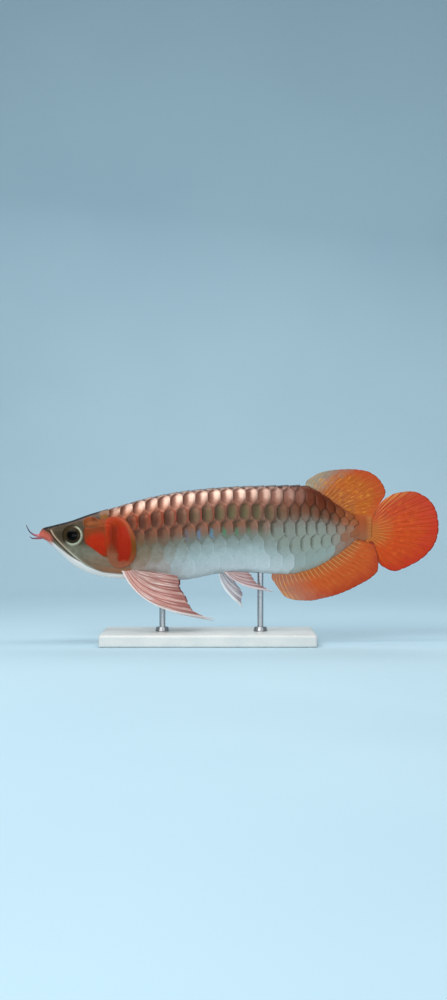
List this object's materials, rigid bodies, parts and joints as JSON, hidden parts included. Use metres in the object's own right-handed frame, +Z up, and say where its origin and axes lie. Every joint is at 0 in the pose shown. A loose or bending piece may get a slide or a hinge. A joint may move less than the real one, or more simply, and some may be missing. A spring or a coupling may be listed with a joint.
{
  "type": "asian arowana",
  "caption": "Life-size model of a swimming arowana with large scales, fan-shaped fins and chin barbels, held over a flat base by two rods.",
  "frame": {"origin": "on the floor, under the middle of the whole length from the barbels' tips to the tail fin's edge, in the fish's middle plane", "axes": "+X towards the tail, the nose points along -X; +Z up; the fish's left side faces -Y"},
  "size_m": [0.4121, 0.092, 0.174],
  "materials": {
    "head": "moist skin over bone, olive brown above and red on the snout",
    "jaw": "moist pale skin with a red tip",
    "gill": "bright orange-red bony plate, satin gloss",
    "eye": "black pupil in a pale gold ring, wet gloss",
    "scales": "large pearly scales, red rims and dark green-brown centres above, silver below",
    "fin": "thin orange-red membrane over fine rays",
    "paired_fin": "thin pink membrane over red rays",
    "barbel": "soft grey-pink skin",
    "base": "satin pale grey, edges eased",
    "steel": "brushed"
  },
  "bodies": {
    "root": {"head": "head", "lower_jaw": "jaw", "gill_cover_left": "gill", "gill_cover_right": "gill", "eye_left": "eye", "eye_right": "eye", "torso": "scales", "tail": "scales", "dorsal_fin": "fin", "anal_fin": "fin", "caudal_fin": "fin", "pectoral_fin_left": "paired_fin", "pectoral_fin_right": "paired_fin", "pelvic_fin_left": "paired_fin", "pelvic_fin_right": "paired_fin", "barbel_left": "barbel", "barbel_right": "barbel", "stand_base": "base", "stand_rod_front": "steel", "stand_rod_rear": "steel"}
  },
  "joints": []
}
